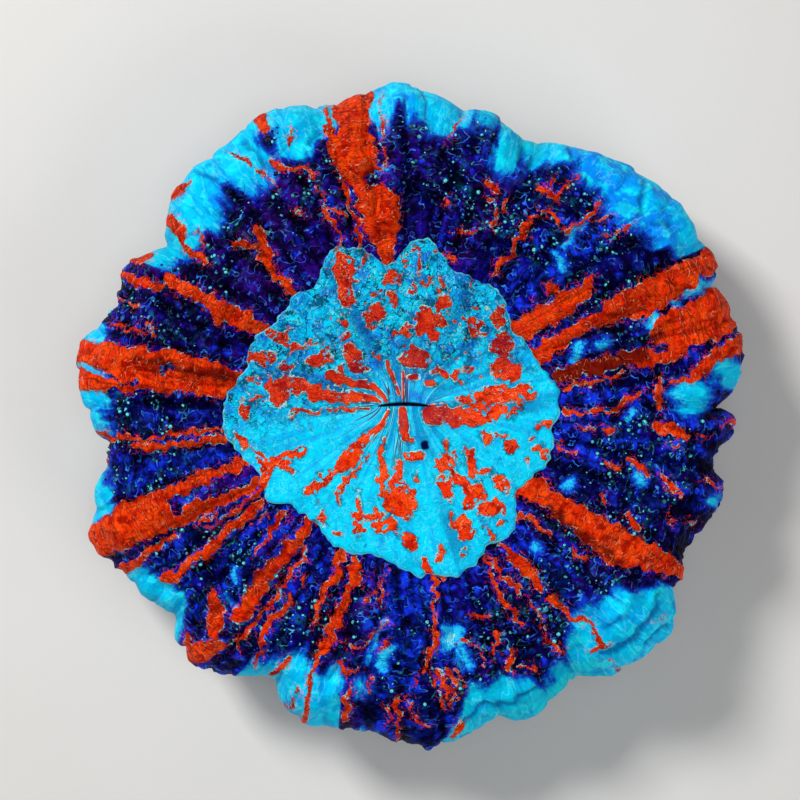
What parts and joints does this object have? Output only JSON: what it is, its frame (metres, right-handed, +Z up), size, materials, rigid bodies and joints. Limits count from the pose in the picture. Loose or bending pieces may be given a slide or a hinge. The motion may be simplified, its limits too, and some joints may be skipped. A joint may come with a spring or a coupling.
{
  "type": "acanthophyllia coral",
  "caption": "Solitary fleshy stony coral with a flat oral disc, a ring of radial folds with puffed lobes at the margin, and a short ribbed stalk cut off flat beneath.",
  "frame": {"origin": "middle of the cut face beneath, on the surface that the coral rests on", "axes": "+Z up through the coral, from the cut face to the oral disc; +X along the slit of the mouth"},
  "size_m": [0.1486, 0.1481, 0.0422],
  "materials": {
    "living_tissue": "wet, fleshy and slightly translucent, in blue, turquoise and orange-red"
  },
  "bodies": {
    "root": {"coral": "living_tissue"}
  },
  "joints": []
}
